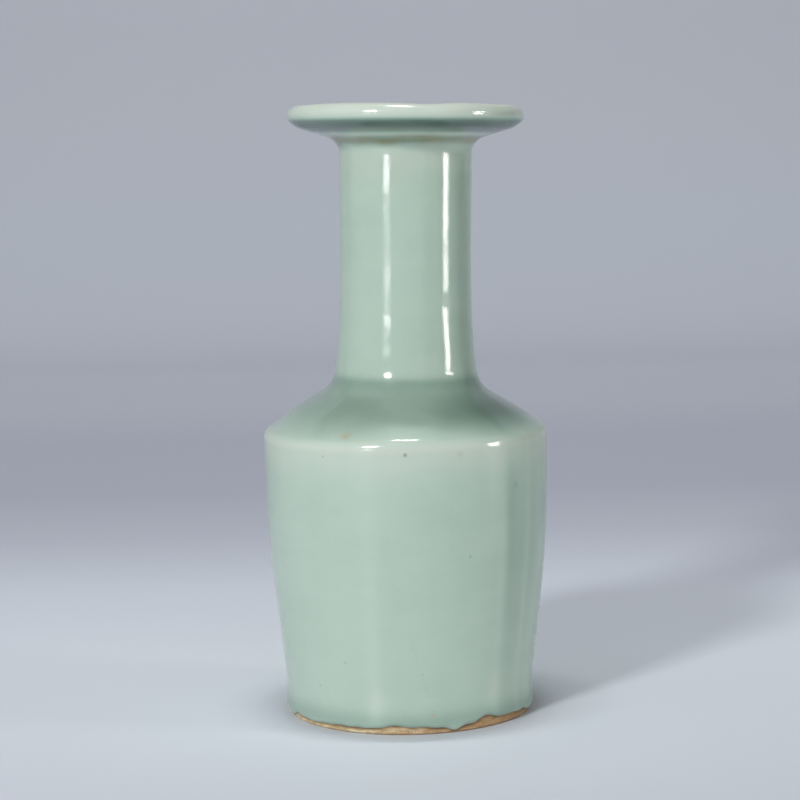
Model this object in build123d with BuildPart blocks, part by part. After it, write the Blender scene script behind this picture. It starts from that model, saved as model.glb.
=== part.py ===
"""Mallet vase: four thrown clay pieces, the slip seams that join them, and three coats of glaze.

The vase stands on the plane z = 0 with its axis on Z. Every piece is a ring about that axis.
An outline is a list of corners, each a radius, a height and the radius of the round on it.
It runs up the outside, over the lip and down the inside, so the clay is always on its left.
"""

import os

from build123d import *

# Outside over the glaze, in millimetres, from the foot up
body_radius = 40.45
body_height = 80.9
shoulder_round = 3.2
shoulder_rise = 12.3
belly_height = 51.0
belly_draw = 0.45
belly_round = 300.0
waist_height = 9.0
waist_draw = 5.05
waist_round = 40.0
foot_flare = 0.8

# Neck, from its root in the shoulder to the underside of the mouth
neck_radius = 18.5
neck_height = 68.9
neck_root_flare = 1.75
neck_root_round = 9.0
neck_waist_rise = 28.8
neck_waist_round = 300.0
neck_top_flare = 0.25
neck_top_round = 4.6

# Mouth: a flat flange with a thick rounded lip round a shallow dish
lip_radius = 33.35
lip_height = 4.1
lip_width = 5.8
lip_crest_flat = 0.2
lip_under_round = 1.2
flange_rise = 3.6
flange_inset = 2.9
flange_round = 5.0
lip_flare_rise = 2.2
dish_depth = 3.3
dish_draft = 2.3
dish_fall = 2.0
dish_round = 3.0
bore_edge_round = 3.0

# Clay and glaze
wall = 4.0
floor = 6.5
floor_round = 12.0
inner_round = 2.5
glaze = 0.8

# Foot ring, the recess inside it, and the clay that is left bare
foot_ring_width = 7.4
recess_depth = 5.0
recess_round = 2.0
foot_edge_round = 0.75
bare_foot = 3.0
bare_ring_inside = 1.2
glaze_roll = 0.5

# Luted joints: where each one lies, and how thick the slip is
seam = 0.4
body_seam_drop = 7.5
neck_seam_rise = 4.6
mouth_seam_drop = 5.2

# Heights that follow from the sizes above
neck_root = body_height + shoulder_rise
neck_top = neck_root + neck_height
flange_height = neck_top + flange_rise
lip_under = flange_height + lip_flare_rise
vase_height = lip_under + lip_height
floor_height = recess_depth + glaze + floor + glaze
body_seam = body_height - body_seam_drop
neck_seam = neck_root + neck_seam_rise
mouth_seam = neck_top - mouth_seam_drop

# Radii and rounds that follow
waist_radius = body_radius - waist_draw
foot_radius = waist_radius + foot_flare
recess_radius = foot_radius - glaze - foot_ring_width
lip_crest_radius = lip_radius - lip_width / 2
lip_top_round = (lip_width - lip_crest_flat) / 2
lip_inner_radius = lip_radius - lip_width
dish_radius = lip_inner_radius - dish_draft
dish_height = vase_height - dish_depth

# The foot outline starts this far under the table and is cut off level with it
below = 2.0


def moved(outline, depth, least_round=0.0):
    """Outline moved to its left by depth: straight runs stay parallel and rounds keep their centres."""
    corners = [Vector(radius, height) for radius, height, _ in outline]
    runs = [(b - a).normalized() for a, b in zip(corners, corners[1:])]
    runs = [runs[0]] + runs + [runs[-1]]
    result = []
    for corner, (_, _, round_), before, after in zip(corners, outline, runs, runs[1:]):
        left = Vector(-before.Y, before.X) + Vector(-after.Y, after.X)
        place = corner + left * (depth / (1 + before.dot(after)))
        turn = before.cross(after).Z
        grown = round_ - depth if turn > 0 else round_ + depth
        result.append((place.X, place.Y, max(grown, least_round)))
    return result


def drawn(outline):
    """Line of an outline in the current sketch, with its rounds."""
    corners = [(radius, height) for radius, height, _ in outline]
    rounds = [round_ for _, _, round_ in outline[1:-1]]
    return FilletPolyline(*corners, radius=rounds)


def between(line, other):
    """Close the gap between two lines that run the same way, straight at both ends."""
    Line(line @ 0, other @ 0)
    Line(line @ 1, other @ 1)


# Outside of the glaze, from under the foot to the crest of the lip
outside = [
    (foot_radius, -below, 0.0),
    (waist_radius, waist_height, waist_round),
    (body_radius - belly_draw, belly_height, belly_round),
    (body_radius, body_height, shoulder_round),
    (neck_radius + neck_root_flare, neck_root, neck_root_round),
    (neck_radius, neck_root + neck_waist_rise, neck_waist_round),
    (neck_radius + neck_top_flare, neck_top, neck_top_round),
    (lip_radius - flange_inset, flange_height, flange_round),
    (lip_radius, lip_under, lip_under_round),
    (lip_radius, vase_height, lip_top_round),
    (lip_crest_radius, vase_height, 0.0),
]

# Inside of the glaze, from the crest of the lip to the middle of the floor.
# The wall between is the outside moved in by the clay and a coat of glaze on each face.
inner_wall = moved(outside, glaze + wall + glaze, least_round=inner_round)
heel_in, belly_in, shoulder_in, root_in, waist_in = inner_wall[1:6]
inside = [
    (lip_crest_radius, vase_height, 0.0),
    (lip_inner_radius, vase_height, lip_top_round),
    (dish_radius, dish_height, dish_round),
    (waist_in[0], dish_height - dish_fall, bore_edge_round),
    waist_in,
    root_in,
    shoulder_in,
    belly_in,
    (heel_in[0], floor_height, floor_round),
    (0.0, floor_height, 0.0),
]

# Glaze in the recess under the foot, from the middle out and down
recess = [
    (0.0, recess_depth, 0.0),
    (recess_radius, recess_depth, recess_round),
    (recess_radius, -below, 0.0),
]

clay_outside = moved(outside, glaze)
clay_inside = moved(inside, glaze)
clay_recess = moved(recess, glaze)

# Half-section of all the clay, cut into pieces further down
with BuildSketch(Plane.XZ) as clay_section:
    with BuildLine():
        outer_line = drawn(clay_outside)
        inner_line = drawn(clay_inside)
        recess_line = drawn(clay_recess)
        Line(inner_line @ 1, recess_line @ 0)
        Line(recess_line @ 1, outer_line @ 0)
    make_face()


def band(bottom, top):
    """Keep the part of the current sketch that lies between two heights."""
    with Locations((lip_radius + body_radius, (bottom + top) / 2)):
        Rectangle(2 * (lip_radius + body_radius), top - bottom, mode=Mode.INTERSECT)


def clay_between(bottom, top):
    """Half-section of the clay between two heights, in the current sketch."""
    add(clay_section.sketch_local)
    band(bottom, top)


# Thrown body: wall, floor and the turned foot ring, whose edges are worn round
with BuildPart() as body_cup:
    with BuildSketch(Plane.XZ):
        clay_between(0, body_seam)
    revolve(axis=Axis.Z)
    foot_edges = body_cup.edges().filter_by(GeomType.CIRCLE).group_by(Axis.Z)[0]
    fillet(foot_edges, foot_edge_round)
body_cup.part.label = "body_cup"

# Shoulder cap with the soft edge and the root of the neck
with BuildPart() as shoulder:
    with BuildSketch(Plane.XZ):
        clay_between(body_seam + seam, neck_seam)
    revolve(axis=Axis.Z)
shoulder.part.label = "shoulder"

# Neck tube
with BuildPart() as neck:
    with BuildSketch(Plane.XZ):
        clay_between(neck_seam + seam, mouth_seam)
    revolve(axis=Axis.Z)
neck.part.label = "neck"

# Mouth flange with its lip and dish
with BuildPart() as mouth_dish:
    with BuildSketch(Plane.XZ):
        clay_between(mouth_seam + seam, vase_height)
    revolve(axis=Axis.Z)
mouth_dish.part.label = "mouth_dish"

# Slip that lutes the shoulder to the body
with BuildPart() as seam_body:
    with BuildSketch(Plane.XZ):
        clay_between(body_seam, body_seam + seam)
    revolve(axis=Axis.Z)
seam_body.part.label = "seam_body"

# Slip that lutes the neck to the shoulder
with BuildPart() as seam_neck:
    with BuildSketch(Plane.XZ):
        clay_between(neck_seam, neck_seam + seam)
    revolve(axis=Axis.Z)
seam_neck.part.label = "seam_neck"

# Slip that lutes the mouth to the neck
with BuildPart() as seam_mouth:
    with BuildSketch(Plane.XZ):
        clay_between(mouth_seam, mouth_seam + seam)
    revolve(axis=Axis.Z)
seam_mouth.part.label = "seam_mouth"

# Glaze on the outside, which stops above the bare foot in a rolled edge
with BuildPart() as glaze_outside:
    with BuildSketch(Plane.XZ):
        with BuildLine():
            between(drawn(outside), drawn(clay_outside))
        make_face()
        band(bare_foot, vase_height)
    revolve(axis=Axis.Z)
    lower_edge = glaze_outside.edges().filter_by(GeomType.CIRCLE).group_by(Axis.Z)[0]
    fillet(lower_edge.sort_by(SortBy.RADIUS)[-1], glaze_roll)
glaze_outside.part.label = "glaze_outside"

# Glaze on the inside, from the crest of the lip to the middle of the floor
with BuildPart() as glaze_inside:
    with BuildSketch(Plane.XZ):
        with BuildLine():
            between(drawn(inside), drawn(clay_inside))
        make_face()
    revolve(axis=Axis.Z)
glaze_inside.part.label = "glaze_inside"

# Glaze in the recess, which stops above the bare foot ring in the same rolled edge
with BuildPart() as glaze_base:
    with BuildSketch(Plane.XZ):
        with BuildLine():
            between(drawn(recess), drawn(clay_recess))
        make_face()
        band(bare_ring_inside, vase_height)
    revolve(axis=Axis.Z)
    lower_edge = glaze_base.edges().filter_by(GeomType.CIRCLE).group_by(Axis.Z)[0]
    fillet(lower_edge.sort_by(SortBy.RADIUS)[0], glaze_roll)
glaze_base.part.label = "glaze_base"

os.makedirs("parts", exist_ok=True)
pieces = [
    body_cup,
    shoulder,
    neck,
    mouth_dish,
    seam_body,
    seam_neck,
    seam_mouth,
    glaze_outside,
    glaze_inside,
    glaze_base,
]
for piece in pieces:
    export_step(piece.part, f"parts/{piece.part.label}.step")
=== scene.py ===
"""Looks of a celadon mallet vase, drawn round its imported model.

The vase was thrown in four pieces, luted together with slip and dipped in a thick glaze. Each piece is
drawn here as a section carried round the axis, from outlines that all pieces share, and all of them take
the same unevenness of hand-made pottery: the neck leans, the lip isn't level, and the glaze ends in a
wavy roll above the bare foot. An azimuth is measured round the axis from the side that faces the camera,
growing towards +X. The clay or glaze is always on the left of an outline, so its right is the open air.
"""

import logging
import math
from collections.abc import Iterable
from dataclasses import dataclass
from enum import Enum

import bpy
import numpy as np
from mathutils import Matrix, Vector


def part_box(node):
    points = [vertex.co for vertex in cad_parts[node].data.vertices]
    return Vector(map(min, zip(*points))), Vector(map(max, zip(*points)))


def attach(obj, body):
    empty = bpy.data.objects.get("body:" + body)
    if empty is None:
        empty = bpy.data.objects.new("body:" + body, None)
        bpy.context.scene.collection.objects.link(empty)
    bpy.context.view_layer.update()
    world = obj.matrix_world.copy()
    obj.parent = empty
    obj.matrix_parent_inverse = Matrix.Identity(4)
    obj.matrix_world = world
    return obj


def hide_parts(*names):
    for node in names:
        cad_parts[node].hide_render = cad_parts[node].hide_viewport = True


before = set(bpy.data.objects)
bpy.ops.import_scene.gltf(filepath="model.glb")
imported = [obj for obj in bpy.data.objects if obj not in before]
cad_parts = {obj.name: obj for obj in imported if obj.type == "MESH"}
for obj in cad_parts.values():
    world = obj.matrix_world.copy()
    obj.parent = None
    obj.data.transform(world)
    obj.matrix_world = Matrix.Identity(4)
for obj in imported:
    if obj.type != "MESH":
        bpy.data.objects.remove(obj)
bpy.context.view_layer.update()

log = logging.getLogger("mallet_vase")

MM = 0.001
ROOT = "root"
Grid = np.ndarray
Colour = tuple[float, float, float, float]

# 0 at every place of a part
NOTHING = np.zeros((1, 1))

# Samples of an outline that are closer than this would make slivers
CLOSE = 0.05 * MM

# Faces that meet at more than this turn have a sharp edge between them
SHARP_TURN = math.radians(50)


def srgb(red: int, green: int, blue: int) -> Colour:
    """Linear colour of an sRGB colour: each part plus 0.055, over 1.055, to the power of 2.4.

    Args:
        red, green, blue: The colour's parts, from 0 to 255.

    Returns:
        Red, green, blue and an alpha of 1, as a shader takes them.
    """
    parts = [((c / 255 + 0.055) / 1.055) ** 2.4 for c in (red, green, blue)]
    return (parts[0], parts[1], parts[2], 1.0)


def eased(value: Grid, low: float, high: float) -> Grid:
    """Ease from 0 at low to 1 at high: with t the share of the way, 3 t squared less 2 t cubed."""
    share = np.clip((value - low) / (high - low), 0.0, 1.0)
    return share * share * (3 - 2 * share)


# Outlines


@dataclass(frozen=True)
class Corner:
    """Corner of an outline: where two straight runs meet, and the radius of the round between them."""

    radius: float
    height: float
    round: float = 0.0


@dataclass(frozen=True)
class Line:
    """Outline in samples: places, and unit normals into the open air, by length from its start."""

    length: Grid
    radius: Grid
    height: Grid
    out_radius: Grid
    out_height: Grid

    def at(self, length: Grid, off: Grid | float = 0.0) -> tuple[Grid, Grid]:
        """Places on the line, or off it along its normal.

        Args:
            length: Lengths from the start of the line.
            off: How far each place stands out into the open air.

        Returns:
            Radii and heights, in the shape of the lengths.
        """
        radius = np.interp(length, self.length, self.radius)
        height = np.interp(length, self.length, self.height)
        out_radius = np.interp(length, self.length, self.out_radius)
        out_height = np.interp(length, self.length, self.out_height)
        return radius + off * out_radius, height + off * out_height

    def length_at(self, height: float) -> float:
        """Length at which the line crosses a height for the last time."""
        above = self.height > height
        last = int(np.nonzero(above[1:] != above[:-1])[0][-1])
        before, after = self.height[last], self.height[last + 1]
        share = (height - before) / (after - before)
        return float(self.length[last] + share * (self.length[last + 1] - self.length[last]))

    def rows(self, start: float, end: float) -> Grid:
        """Lengths of the samples between two lengths, with both of those."""
        inside = self.length[(self.length > start + CLOSE) & (self.length < end - CLOSE)]
        return np.concatenate([[start], inside, [end]])


@dataclass(frozen=True)
class Outline:
    """Half-section of a turned surface, as corners with rounds on them."""

    corners: tuple[Corner, ...]

    def places(self) -> tuple[Grid, Grid]:
        """Corners as points, and the unit direction of the run that follows each but the last."""
        points = np.array([(c.radius, c.height) for c in self.corners])
        steps = np.diff(points, axis=0)
        return points, steps / np.hypot(steps[:, 0], steps[:, 1])[:, None]

    def moved(self, depth: float, least_round: float = 0.0) -> "Outline":
        """Outline moved to its left, with its runs parallel and the centres of its rounds kept.

        A corner moves by the sum of the left normals of its two runs, times the depth, over one more
        than the cosine of the turn between them.

        Args:
            depth: How far it moves.
            least_round: The smallest round that is left on a corner.

        Returns:
            The new outline.
        """
        points, runs = self.places()
        before = np.concatenate([runs[:1], runs])
        after = np.concatenate([runs, runs[-1:]])
        left = np.stack([-before[:, 1] - after[:, 1], before[:, 0] + after[:, 0]], axis=1)
        cosine = (before * after).sum(axis=1)
        points = points + left * (depth / (1 + cosine))[:, None]
        turn = before[:, 0] * after[:, 1] - before[:, 1] * after[:, 0]
        rounds = np.array([c.round for c in self.corners]) - np.sign(turn) * depth
        rounds = np.where(turn == 0, 0.0, np.maximum(rounds, least_round))
        return Outline(tuple(Corner(p[0], p[1], r) for p, r in zip(points.tolist(), rounds.tolist())))

    def line(self, step: float = 0.95 * MM, bend: float = math.radians(11)) -> Line:
        """Outline in samples, closer together on the rounds.

        A round is an arc that touches both runs at the round's radius times the tangent of half the
        turn from the corner. Its normals turn evenly from that of one run to that of the next.

        Args:
            step: The longest step between samples.
            bend: The largest turn between samples.

        Returns:
            The sampled line.
        """
        points, runs = self.places()
        places = [points[:1]]
        normals = [np.array([[runs[0][1], -runs[0][0]]])]
        for corner, point, before, after in zip(self.corners[1:-1], points[1:-1], runs, runs[1:]):
            turn = math.atan2(before[0] * after[1] - before[1] * after[0], float(before @ after))
            side = math.copysign(1.0, turn)
            start = point - before * corner.round * math.tan(abs(turn) / 2)
            count = max(2, math.ceil(abs(turn) / bend), math.ceil(abs(turn) * corner.round / step)) + 1
            angle = math.atan2(before[1], before[0]) + np.linspace(0, turn, count)
            normal = np.stack([np.sin(angle), -np.cos(angle)], axis=1)
            centre = start - side * corner.round * normal[0]
            arc = centre + side * corner.round * normal
            places += [self._run(places[-1][-1], arc[0], step), arc]
            normals += [np.repeat(normal[:1], len(places[-2]), axis=0), normal]
        places += [self._run(places[-1][-1], points[-1], step), points[-1:]]
        last = np.array([[runs[-1][1], -runs[-1][0]]])
        normals += [np.repeat(last, len(places[-2]), axis=0), last]
        place = np.concatenate(places)
        normal = np.concatenate(normals)
        length = np.concatenate([[0.0], np.cumsum(np.hypot(*np.diff(place, axis=0).T))])
        return Line(length, place[:, 0], place[:, 1], normal[:, 0], normal[:, 1])

    def coarse_line(self) -> Line:
        """Outline in fewer samples, for the back of a coat, which nobody sees."""
        return self.line(step=4 * MM, bend=math.radians(24))

    @staticmethod
    def _run(start: Grid, end: Grid, step: float) -> Grid:
        """Even places between two points, without either of them."""
        count = math.ceil(math.dist(start, end) / step)
        share = np.linspace(0, 1, count + 1)[1:-1, None]
        return start + share * (end - start)


@dataclass(frozen=True)
class VaseShape:
    """Sizes of the vase and the outlines that follow from them. All sizes are over the glaze."""

    body_radius: float = 40.45 * MM
    body_height: float = 80.9 * MM
    shoulder_round: float = 3.2 * MM
    shoulder_rise: float = 12.3 * MM
    belly_height: float = 51.0 * MM
    belly_draw: float = 0.45 * MM
    belly_round: float = 300.0 * MM
    waist_height: float = 9.0 * MM
    waist_draw: float = 5.05 * MM
    waist_round: float = 40.0 * MM
    foot_flare: float = 0.2 * MM
    below: float = 2.0 * MM

    neck_radius: float = 18.5 * MM
    neck_height: float = 68.9 * MM
    neck_root_flare: float = 1.75 * MM
    neck_root_round: float = 9.0 * MM
    neck_waist_rise: float = 28.8 * MM
    neck_waist_round: float = 300.0 * MM
    neck_top_flare: float = 0.25 * MM
    neck_top_round: float = 4.6 * MM

    lip_radius: float = 33.35 * MM
    lip_height: float = 4.1 * MM
    lip_width: float = 5.8 * MM
    lip_crest_flat: float = 0.2 * MM
    lip_under_round: float = 2.4 * MM
    flange_rise: float = 3.6 * MM
    flange_inset: float = 2.9 * MM
    flange_round: float = 6.5 * MM
    lip_flare_rise: float = 2.2 * MM
    dish_depth: float = 3.3 * MM
    dish_draft: float = 2.3 * MM
    dish_fall: float = 2.0 * MM
    dish_round: float = 3.0 * MM
    bore_edge_round: float = 3.0 * MM

    wall: float = 4.0 * MM
    floor: float = 6.5 * MM
    floor_round: float = 12.0 * MM
    inner_round: float = 2.5 * MM
    glaze: float = 0.8 * MM

    foot_ring_width: float = 6.8 * MM
    recess_depth: float = 5.0 * MM
    recess_round: float = 2.0 * MM
    foot_edge_round: float = 0.75 * MM

    @property
    def neck_root(self) -> float:
        """Height at which the shoulder meets the neck."""
        return self.body_height + self.shoulder_rise

    @property
    def neck_top(self) -> float:
        """Height at which the neck meets the underside of the mouth."""
        return self.neck_root + self.neck_height

    @property
    def flange_height(self) -> float:
        """Height at which the underside of the mouth turns up into the lip."""
        return self.neck_top + self.flange_rise

    @property
    def lip_under(self) -> float:
        """Height of the lower edge of the lip."""
        return self.flange_height + self.lip_flare_rise

    @property
    def vase_height(self) -> float:
        """Height of the crest of the lip."""
        return self.lip_under + self.lip_height

    @property
    def crest(self) -> Corner:
        """Crest of the lip, where the outline of the outside ends and that of the inside starts."""
        return Corner(self.lip_radius - self.lip_width / 2, self.vase_height)

    @property
    def lip_top_round(self) -> float:
        """Round on each side of the crest."""
        return (self.lip_width - self.lip_crest_flat) / 2

    @property
    def foot_radius(self) -> float:
        """Radius that the outside would have just under the foot."""
        return self.body_radius - self.waist_draw + self.foot_flare

    @property
    def recess_radius(self) -> float:
        """Radius of the recess under the foot, over its glaze."""
        return self.foot_radius - self.glaze - self.foot_ring_width

    @property
    def outside(self) -> Outline:
        """Outside of the glaze, from under the foot up to the crest of the lip."""
        return Outline((
            Corner(self.foot_radius, -self.below),
            Corner(self.body_radius - self.waist_draw, self.waist_height, self.waist_round),
            Corner(self.body_radius - self.belly_draw, self.belly_height, self.belly_round),
            Corner(self.body_radius, self.body_height, self.shoulder_round),
            Corner(self.neck_radius + self.neck_root_flare, self.neck_root, self.neck_root_round),
            Corner(self.neck_radius, self.neck_root + self.neck_waist_rise, self.neck_waist_round),
            Corner(self.neck_radius + self.neck_top_flare, self.neck_top, self.neck_top_round),
            Corner(self.lip_radius - self.flange_inset, self.flange_height, self.flange_round),
            Corner(self.lip_radius, self.lip_under, self.lip_under_round),
            Corner(self.lip_radius, self.vase_height, self.lip_top_round),
            self.crest,
        ))

    @property
    def inside(self) -> Outline:
        """Inside of the glaze, from the crest of the lip down to the middle of the floor."""
        inner = self.outside.moved(self.glaze + self.wall + self.glaze, self.inner_round).corners
        lip_inner_radius = self.lip_radius - self.lip_width
        dish_height = self.vase_height - self.dish_depth
        floor_height = self.recess_depth + self.glaze + self.floor + self.glaze
        return Outline((
            self.crest,
            Corner(lip_inner_radius, self.vase_height, self.lip_top_round),
            Corner(lip_inner_radius - self.dish_draft, dish_height, self.dish_round),
            Corner(inner[5].radius, dish_height - self.dish_fall, self.bore_edge_round),
            *reversed(inner[2:6]),
            Corner(inner[1].radius, floor_height, self.floor_round),
            Corner(0.0, floor_height),
        ))

    @property
    def recess(self) -> Outline:
        """Glaze in the recess under the foot, from the middle out and down."""
        return Outline((
            Corner(0.0, self.recess_depth),
            Corner(self.recess_radius, self.recess_depth, self.recess_round),
            Corner(self.recess_radius, -self.below),
        ))

    @property
    def clay_outside(self) -> Outline:
        """Face of the clay from the middle of the recess, round the foot and up to the crest."""
        recess = self.recess.moved(self.glaze).corners
        wall = self.outside.moved(self.glaze).corners
        share = (0.0 - wall[0].height) / (wall[1].height - wall[0].height)
        foot = wall[0].radius + share * (wall[1].radius - wall[0].radius)
        return Outline((
            *recess[:2],
            Corner(recess[2].radius, 0.0, self.foot_edge_round),
            Corner(foot, 0.0, self.foot_edge_round),
            *wall[1:],
        ))

    @property
    def clay_inside(self) -> Outline:
        """Face of the clay from the crest down to the middle of the floor."""
        return self.inside.moved(self.glaze)


# Unevenness of hand-made pottery


@dataclass(frozen=True)
class Ripple:
    """Waves round a turned surface, and along it where they have a length that way.

    They close on themselves round the axis.
    """

    seed: int
    size: float
    around: int
    along: float = math.inf
    waves: int = 18

    def at(self, azimuth: Grid, length: Grid | float = 0.0) -> Grid:
        """Height of the waves: a sum of sines of a whole number of azimuths plus a share of the length.

        Args:
            azimuth: Azimuths in radians.
            length: Lengths along the surface. Without them the waves only run round it.

        Returns:
            The sum, whose root mean square is the size.
        """
        draw = np.random.default_rng(self.seed)
        around = draw.integers(0, self.around + 1, self.waves)
        along = draw.uniform(-2 * math.pi, 2 * math.pi, self.waves) / self.along
        phase = draw.uniform(0, 2 * math.pi, self.waves)
        waves = [np.sin(n * azimuth + k * length + p) for n, k, p in zip(around, along, phase)]
        return self.size * math.sqrt(2 / self.waves) * sum(waves)


@dataclass(frozen=True)
class Swell:
    """Rise or dip at one azimuth, in degrees, that fades on both sides as a bell curve."""

    azimuth: float
    rise: float
    width: float

    def at(self, azimuth: Grid) -> Grid:
        """Height of the swell: its rise times e to the minus square of the distance over the width."""
        away = np.degrees(azimuth) - self.azimuth
        away = (away + 180.0) % 360.0 - 180.0
        return self.rise * np.exp(-((away / self.width) ** 2))


@dataclass(frozen=True)
class Band:
    """Amount of something by height: it is whole at one height and fades above and under it."""

    height: float
    above: float
    under: float
    amount: float = 1.0

    def at(self, height: Grid) -> Grid:
        """Amount at each height: a bell curve with one width above the place and another under it."""
        away = height - self.height
        width = np.where(away > 0, self.above, self.under)
        return self.amount * np.exp(-((away / width) ** 2))


@dataclass(frozen=True)
class Patch:
    """Amount of something over part of the wall: a swell round the axis times a band of height."""

    swell: Swell
    band: Band

    def at(self, azimuth: Grid, height: Grid) -> Grid:
        """Amount at each azimuth and height."""
        return self.swell.at(azimuth) * self.band.at(height)


def summed(parts: Iterable[Swell | Band | Patch], *places: Grid) -> Grid:
    """Sum of what each part gives at the same places."""
    return sum(part.at(*places) for part in parts)


@dataclass(frozen=True)
class Potting:
    """What the hand and the kiln did to the turned shape. Every piece is placed through this.

    The neck leans to +X from a bend at the shoulder, the body stands a little to -X, its foot a little
    more, and the lip rises and dips.
    """

    lean: float = math.radians(1.13)
    lean_start: float = 84.0 * MM
    lean_end: float = 96.0 * MM
    body_drift: float = -0.35 * MM
    foot_drift: Band = Band(10.0 * MM, 18.0 * MM, 10.0 * MM, -0.3 * MM)
    mouth_start: float = 167.5 * MM
    mouth_end: float = 171.0 * MM
    lip_swells: tuple[Swell, ...] = (
        Swell(-28.0, 0.2 * MM, 24.0),
        Swell(12.0, -0.25 * MM, 12.0),
        Swell(29.0, 0.15 * MM, 12.0),
        Swell(150.0, 0.3 * MM, 50.0),
        Swell(-120.0, -0.25 * MM, 40.0),
    )

    def placed(self, azimuth: Grid, radius: Grid, height: Grid) -> Grid:
        """Points of a turned surface, after the lean, the drifts and the swells of the lip.

        The centre line bends from upright to the lean between two heights, so it moves to +X by the
        integral of its eased slope, and a section above is turned with it. The drift of the body fades
        over the same bend, and that of the foot is a band of height.

        Args:
            azimuth: Azimuths in radians, one for each column.
            radius: Radii, one for each place or for each row.
            height: Heights, in the same shape.

        Returns:
            Points in an array with a last axis of three.
        """
        span = self.lean_end - self.lean_start
        share = np.clip((height - self.lean_start) / span, 0.0, 1.0)
        past = np.maximum(height - self.lean_end, 0.0)
        bend = eased(height, self.lean_start, self.lean_end)
        tilt = self.lean * bend
        shift = self.lean * (span * (share**3 - share**4 / 2) + past)
        shift = shift + self.body_drift * (1.0 - bend) + self.foot_drift.at(height)
        across = radius * np.sin(azimuth)
        depth = -radius * np.cos(azimuth)
        lift = summed(self.lip_swells, azimuth) * eased(height, self.mouth_start, self.mouth_end)
        x = shift + across * np.cos(tilt)
        z = height - across * np.sin(tilt) + lift
        return np.stack(np.broadcast_arrays(x, depth, z), axis=-1)


# Meshes


def turned(name: str, points: Grid, poles: bool, values: dict[str, Grid]) -> bpy.types.Object:
    """Mesh over a grid of points, closed round the axis.

    Each row of the grid goes once round the axis and its last column joins its first. The rows run along
    the closed section with the solid on their left, so the faces point outwards. Without poles the last
    row joins the first. With poles the first and last rows shrink to one point each, and fans of
    triangles close the ends.

    Args:
        name: Name of the piece.
        points: Points in an array of rows, columns and three.
        poles: Whether the section starts and ends on the axis.
        values: Named numbers, one for each place of the grid, for the material to read.

    Returns:
        The new object, at the origin.
    """
    rows, columns = points.shape[:2]

    def listed(grid: Grid) -> Grid:
        """Grid as a list, with one entry for a whole row at each pole."""
        if not poles:
            return grid.reshape(-1, *grid.shape[2:])
        inner = grid[1:-1].reshape(-1, *grid.shape[2:])
        return np.concatenate([grid[0, :1], inner, grid[-1, :1]])

    places = listed(points)
    if poles:
        ring = 1 + np.arange((rows - 2) * columns).reshape(rows - 2, columns)
    else:
        ring = np.arange(rows * columns).reshape(rows, columns)
        ring = np.concatenate([ring, ring[:1]])
    beside = np.roll(ring, -1, axis=1)
    faces = np.stack([ring[:-1], beside[:-1], beside[1:], ring[1:]], axis=-1).reshape(-1, 4).tolist()
    if poles:
        start = np.zeros(columns, dtype=int)
        end = start + len(places) - 1
        faces += np.stack([start, beside[0], ring[0]], axis=-1).tolist()
        faces += np.stack([end, ring[-1], beside[-1]], axis=-1).tolist()
    mesh = bpy.data.meshes.new(name)
    mesh.from_pydata(places.tolist(), [], faces)
    for key, value in values.items():
        spread = listed(np.broadcast_to(value, (rows, columns)))
        mesh.attributes.new(key, "FLOAT", "POINT").data.foreach_set("value", spread.astype(np.float32))
    mesh.shade_smooth()
    mesh.set_sharp_from_angle(angle=SHARP_TURN)
    piece = bpy.data.objects.new(name, mesh)
    bpy.context.scene.collection.objects.link(piece)
    return piece


@dataclass(frozen=True)
class Wheel:
    """The one shape and the one unevenness that all pieces share, so that neighbours still fit."""

    shape: VaseShape = VaseShape()
    potting: Potting = Potting()
    columns: int = 288

    @property
    def azimuth(self) -> Grid:
        """Azimuth of each column, in radians."""
        return np.arange(self.columns) * (2 * math.pi / self.columns)

    def piece(
        self, name: str, parts: list[tuple[Grid, Grid]], poles: bool = False, **values: list[Grid]
    ) -> bpy.types.Object:
        """Piece whose closed section is a row of parts, one after the other.

        Args:
            name: Name of the piece.
            parts: Radii and heights of each part of the section, of one column or of all columns.
            poles: Whether the section starts and ends on the axis.
            values: Named numbers for the material, as one grid for each part.

        Returns:
            The new object, which rides on the only body.
        """
        spread = [[np.broadcast_to(g, (len(g), self.columns)) for g in part] for part in parts]
        radius = np.concatenate([part[0] for part in spread])
        height = np.concatenate([part[1] for part in spread])
        whole = {}
        for key, grids in values.items():
            sized = [np.broadcast_to(g, part[0].shape) for g, part in zip(grids, spread)]
            whole[key] = np.concatenate(sized)
        made = turned(name, self.potting.placed(self.azimuth, radius, height), poles, whole)
        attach(made, ROOT)
        return made

    def point(self, line: Line, azimuth: float, height: float) -> Vector:
        """Point of a surface at an azimuth in degrees and a height."""
        radius, level = line.at(np.array([line.length_at(height)]))
        return Vector(self.potting.placed(np.radians([azimuth]), radius, level)[0].tolist())


# Shader maths


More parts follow.
